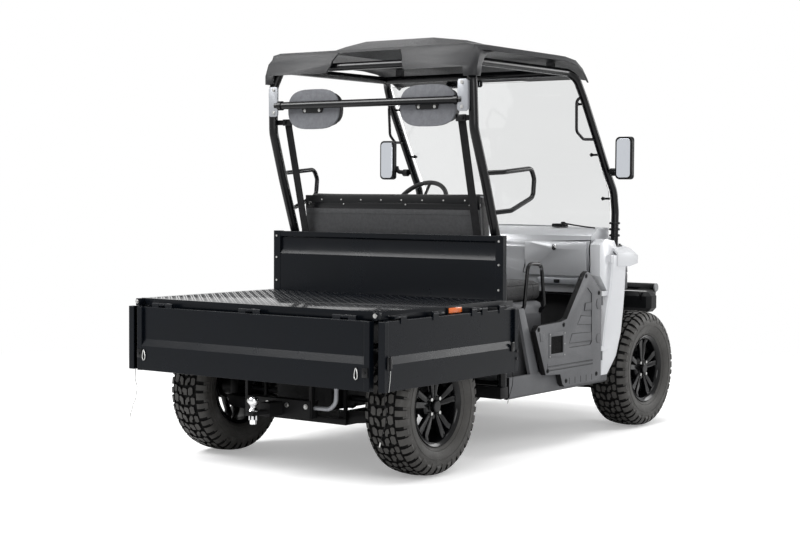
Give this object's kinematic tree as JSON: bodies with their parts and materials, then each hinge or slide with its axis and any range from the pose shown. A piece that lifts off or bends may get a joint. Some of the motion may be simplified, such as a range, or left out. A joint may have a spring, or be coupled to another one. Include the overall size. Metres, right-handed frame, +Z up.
{
  "type": "side by side utility vehicle",
  "caption": "Two seat side by side utility vehicle with a roll cage, roof, windscreen, half doors and a flat tipping bed whose drop sides hang open.",
  "frame": {"origin": "bottom centre of the bounding box, on the ground", "axes": "+X forward, +Y to the vehicle's left, +Z up"},
  "size_m": [3.085, 1.696, 2.132],
  "materials": {
    "bed_paint": "satin black blue paint",
    "frame_paint": "satin black paint",
    "grey_plastic": "fine grain",
    "dark_plastic": "fine grain",
    "silver_plastic": "metallic silver",
    "vinyl": "black grained vinyl",
    "tyre_rubber": "matt",
    "rim_black": "gloss black",
    "screen": "clear",
    "steel": "plain",
    "webbing": "woven"
  },
  "bodies": {
    "frame": {"chassis_rail_left": "frame_paint", "chassis_rail_right": "frame_paint", "cross_member_axle": "frame_paint", "cross_member_seat": "frame_paint", "cross_member_floor": "frame_paint", "cross_member_toe": "frame_paint", "cross_member_nose": "frame_paint", "front_suspension": "frame_paint", "rear_suspension": "frame_paint", "drive_unit": "dark_plastic", "front_dampers": "steel", "rear_dampers": "steel", "tow_hitch": "frame_paint", "floor_pan": "grey_plastic", "seat_base": "grey_plastic", "battery_pack": "dark_plastic", "seat_cushion": "vinyl", "seat_back": "vinyl", "seat_back_panel": "dark_plastic", "cage_rear": "frame_paint", "cage_front": "frame_paint", "headrest_bar": "frame_paint", "belt_left": "webbing", "belt_right": "webbing", "roof": "dark_plastic", "windscreen": "screen", "dashboard": "silver_plastic", "steering_column": "frame_paint", "mirror_left": "frame_paint", "mirror_right": "frame_paint", "mirror_interior": "frame_paint", "hood": "silver_plastic", "fender_left": "silver_plastic", "fender_right": "silver_plastic", "front_fascia": "frame_paint", "front_bumper": "frame_paint"},
    "bed": {"bed_deck": "bed_paint", "bed_headboard": "bed_paint"},
    "tailgate": {"tailgate": "bed_paint"},
    "bed_side_left": {"bed_side_left": "bed_paint", "lanyard_rear_left": "steel", "lanyard_front_left": "steel"},
    "door_left": {"door_left": "grey_plastic"},
    "knuckle_left": {"knuckle_left": "frame_paint"},
    "front_wheel_left": {"tyre_front_left": "tyre_rubber", "rim_front_left": "rim_black"},
    "rear_wheel_left": {"tyre_rear_left": "tyre_rubber", "rim_rear_left": "rim_black"},
    "bed_side_right": {"bed_side_right": "bed_paint", "lanyard_rear_right": "steel", "lanyard_front_right": "steel"},
    "door_right": {"door_right": "grey_plastic"},
    "knuckle_right": {"knuckle_right": "frame_paint"},
    "front_wheel_right": {"tyre_front_right": "tyre_rubber", "rim_front_right": "rim_black"},
    "rear_wheel_right": {"tyre_rear_right": "tyre_rubber", "rim_rear_right": "rim_black"},
    "steering_wheel": {"steering_wheel": "vinyl"},
    "glovebox_lid": {"glovebox_lid": "silver_plastic"}
  },
  "joints": [
    {"name": "bed_tip", "type": "hinge", "parent": "frame", "child": "bed", "pos_m": [-1.4425, 0, 0.7], "axis": [0, -1, 0], "range_deg": [0, 38]},
    {"name": "tailgate_hinge", "type": "hinge", "parent": "bed", "child": "tailgate", "pos_m": [-1.5205, 0, 0.775], "axis": [0, 1, 0], "range_deg": [0, 180]},
    {"name": "bed_side_hinge_left", "type": "hinge", "parent": "bed", "child": "bed_side_left", "pos_m": [-0.9925, 0.768, 0.775], "axis": [1, 0, 0], "range_deg": [0, 180]},
    {"name": "door_hinge_left", "type": "hinge", "parent": "frame", "child": "door_left", "pos_m": [0.5735, 0.7, 0.56], "axis": [0, 0, -1], "range_deg": [0, 70]},
    {"name": "steer_left", "type": "hinge", "parent": "frame", "child": "knuckle_left", "pos_m": [1.0975, 0.53, 0.33], "axis": [0, 0, 1], "range_deg": [-30, 30]},
    {"name": "front_wheel_spin_left", "type": "hinge", "parent": "knuckle_left", "child": "front_wheel_left", "pos_m": [1.0975, 0.611, 0.33], "axis": [0, 1, 0], "continuous": true},
    {"name": "rear_wheel_spin_left", "type": "hinge", "parent": "frame", "child": "rear_wheel_left", "pos_m": [-0.9925, 0.611, 0.33], "axis": [0, 1, 0], "continuous": true},
    {"name": "bed_side_hinge_right", "type": "hinge", "parent": "bed", "child": "bed_side_right", "pos_m": [-0.9925, -0.768, 0.775], "axis": [-1, 0, 0], "range_deg": [0, 180]},
    {"name": "door_hinge_right", "type": "hinge", "parent": "frame", "child": "door_right", "pos_m": [0.5735, -0.7, 0.56], "axis": [0, 0, 1], "range_deg": [0, 70]},
    {"name": "steer_right", "type": "hinge", "parent": "frame", "child": "knuckle_right", "pos_m": [1.0975, -0.53, 0.33], "axis": [0, 0, 1], "range_deg": [-30, 30]},
    {"name": "front_wheel_spin_right", "type": "hinge", "parent": "knuckle_right", "child": "front_wheel_right", "pos_m": [1.0975, -0.611, 0.33], "axis": [0, 1, 0], "continuous": true},
    {"name": "rear_wheel_spin_right", "type": "hinge", "parent": "frame", "child": "rear_wheel_right", "pos_m": [-0.9925, -0.611, 0.33], "axis": [0, 1, 0], "continuous": true},
    {"name": "steering_wheel_turn", "type": "hinge", "parent": "frame", "child": "steering_wheel", "pos_m": [0.3075, 0.33, 1.254], "axis": [-0.7848, 0, 0.6198], "range_deg": [-300, 300]},
    {"name": "glovebox_lid_hinge", "type": "hinge", "parent": "frame", "child": "glovebox_lid", "pos_m": [0.5695, -0.415, 0.88], "axis": [0, -1, 0], "range_deg": [0, 60]}
  ],
  "couplings": [
    {"joint": "steer_right", "follows": "steer_left", "ratio": 1},
    {"joint": "steering_wheel_turn", "follows": "steer_left", "ratio": 10}
  ]
}
